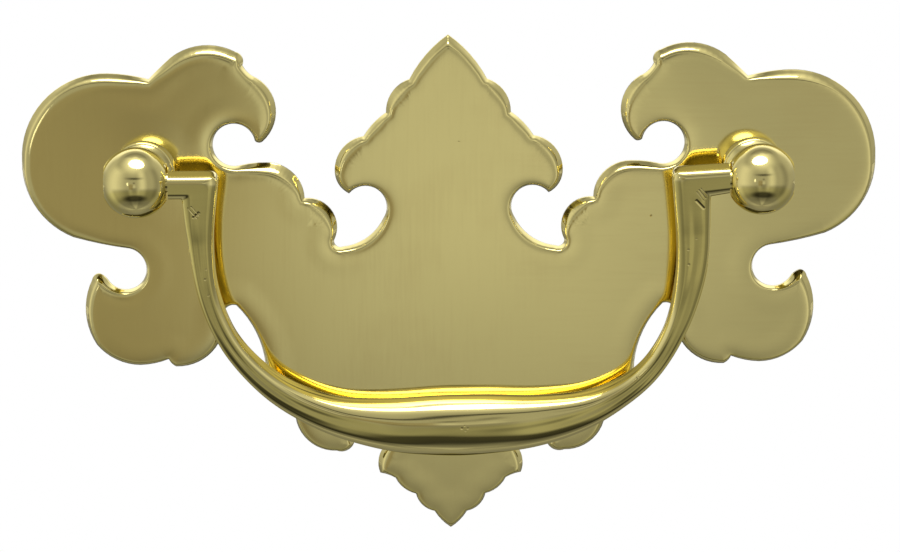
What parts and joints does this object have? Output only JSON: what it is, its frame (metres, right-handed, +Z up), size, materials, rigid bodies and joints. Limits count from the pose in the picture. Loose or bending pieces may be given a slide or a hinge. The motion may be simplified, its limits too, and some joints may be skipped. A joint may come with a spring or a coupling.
{
  "type": "bail pull",
  "caption": "Brass drawer pull with a scalloped, bevelled back plate, turned ball posts on threaded shanks, and a swelled bail that swings between the balls.",
  "frame": {"origin": "midway between the two posts on the back face of the plate, which lies on the drawer front", "axes": "+X to the right along the line of the posts, +Z up, +Y out of the plate's back into the drawer front; the bail is on the -Y side"},
  "size_m": [0.1244, 0.0435, 0.073],
  "materials": {
    "plate_brass": "cast brass, filed bevel, finely brushed and polished by hand",
    "post_brass": "turned brass, polished",
    "bail_brass": "cast brass, filed and polished, with small casting pits",
    "nut_brass": "machined brass, satin"
  },
  "bodies": {
    "plate_and_posts": {"back_plate": "plate_brass", "left_post": "post_brass", "right_post": "post_brass", "left_nut": "nut_brass", "right_nut": "nut_brass"},
    "bail": {"bail": "bail_brass"}
  },
  "joints": [
    {"name": "bail_swing", "type": "hinge", "parent": "plate_and_posts", "child": "bail", "pos_m": [0, -0.013, 0], "axis": [-1, 0, 0], "range_deg": [0, 200]}
  ]
}
